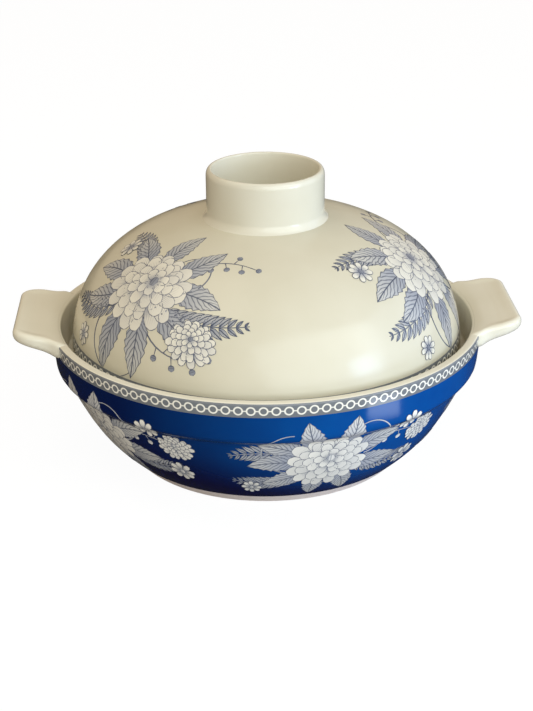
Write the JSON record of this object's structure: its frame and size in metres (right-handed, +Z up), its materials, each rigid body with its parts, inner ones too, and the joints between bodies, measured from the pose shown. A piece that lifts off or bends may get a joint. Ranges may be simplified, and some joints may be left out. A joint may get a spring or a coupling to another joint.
{
  "type": "casserole pot",
  "caption": "Round glazed ceramic casserole: a bowl with a foot ring and lug handles, and an inset domed lid with an open ring knob that lifts off.",
  "frame": {"origin": "centre of the foot ring's underside, where the pot stands", "axes": "+Z up along the axis of the bowl and lid, +X from the middle towards the right handle, +Y away from the viewer"},
  "size_m": [0.2668, 0.2308, 0.1566],
  "materials": {
    "blue_printed_glaze": "glossy cobalt blue print under clear glaze, cream inside",
    "cream_glaze": "glossy ivory glaze",
    "cream_printed_glaze": "glossy ivory glaze over a grey-blue line print"
  },
  "bodies": {
    "pot": {"pot_bowl": "blue_printed_glaze", "handle_left": "cream_glaze", "handle_right": "cream_glaze"},
    "lid": {"lid_dome": "cream_printed_glaze", "lid_collar": "cream_glaze"}
  },
  "joints": [
    {"name": "lid_lift", "type": "slide", "parent": "pot", "child": "lid", "axis": [0, 0, 1], "range_m": [0, 0.15]}
  ]
}
